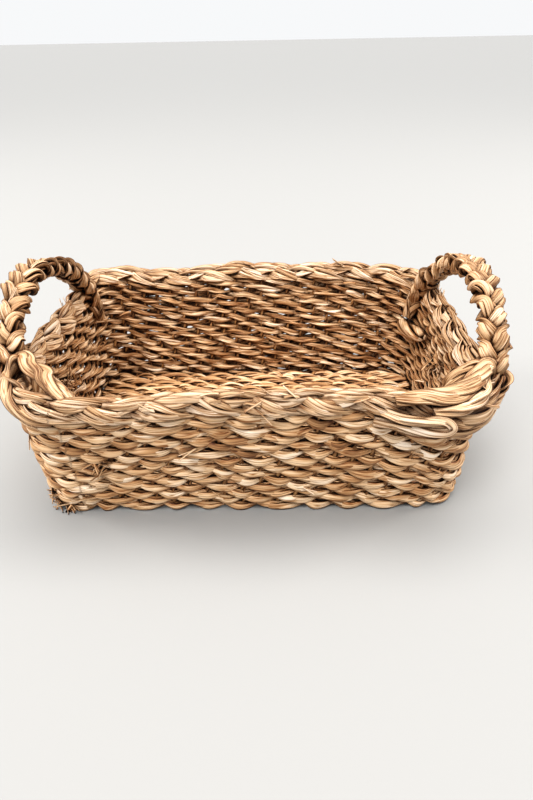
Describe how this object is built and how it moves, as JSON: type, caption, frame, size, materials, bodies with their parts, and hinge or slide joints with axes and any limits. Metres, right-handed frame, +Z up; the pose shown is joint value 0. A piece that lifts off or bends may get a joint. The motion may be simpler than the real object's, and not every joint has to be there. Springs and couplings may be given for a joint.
{
  "type": "bread basket",
  "caption": "Rectangular twined seagrass bread basket with slightly flared walls, a thick plaited rim and a plaited loop handle at each short end.",
  "frame": {"origin": "on the table, under the middle of the base", "axes": "+X along the basket's length towards its right handle, +Y across it towards the back, +Z up"},
  "size_m": [0.3346, 0.245, 0.1523],
  "materials": {
    "weaver_leaf": "matte dried seagrass leaf",
    "stake_cord": "matte dried seagrass cord, darker",
    "plait_leaf": "matte dried seagrass leaf, paler"
  },
  "bodies": {
    "root": {"wall_course_01": "weaver_leaf", "wall_course_02": "weaver_leaf", "wall_course_03": "weaver_leaf", "wall_course_04": "weaver_leaf", "wall_course_05": "weaver_leaf", "wall_course_06": "weaver_leaf", "wall_course_07": "weaver_leaf", "wall_course_08": "weaver_leaf", "wall_course_09": "weaver_leaf", "wall_course_10": "weaver_leaf", "wall_course_11": "weaver_leaf", "wall_course_12": "weaver_leaf", "wall_course_13": "weaver_leaf", "floor_lower_strands": "weaver_leaf", "floor_upper_strands": "weaver_leaf", "cross_stakes": "stake_cord", "left_end_stakes": "stake_cord", "right_end_stakes": "stake_cord", "corner_stakes": "stake_cord", "rim_strand_1": "plait_leaf", "rim_strand_2": "plait_leaf", "rim_strand_3": "plait_leaf", "left_handle_strand_1": "plait_leaf", "left_handle_strand_2": "plait_leaf", "left_handle_strand_3": "plait_leaf", "right_handle_strand_1": "plait_leaf", "right_handle_strand_2": "plait_leaf", "right_handle_strand_3": "plait_leaf", "right_foot_tie": "plait_leaf"}
  },
  "joints": []
}
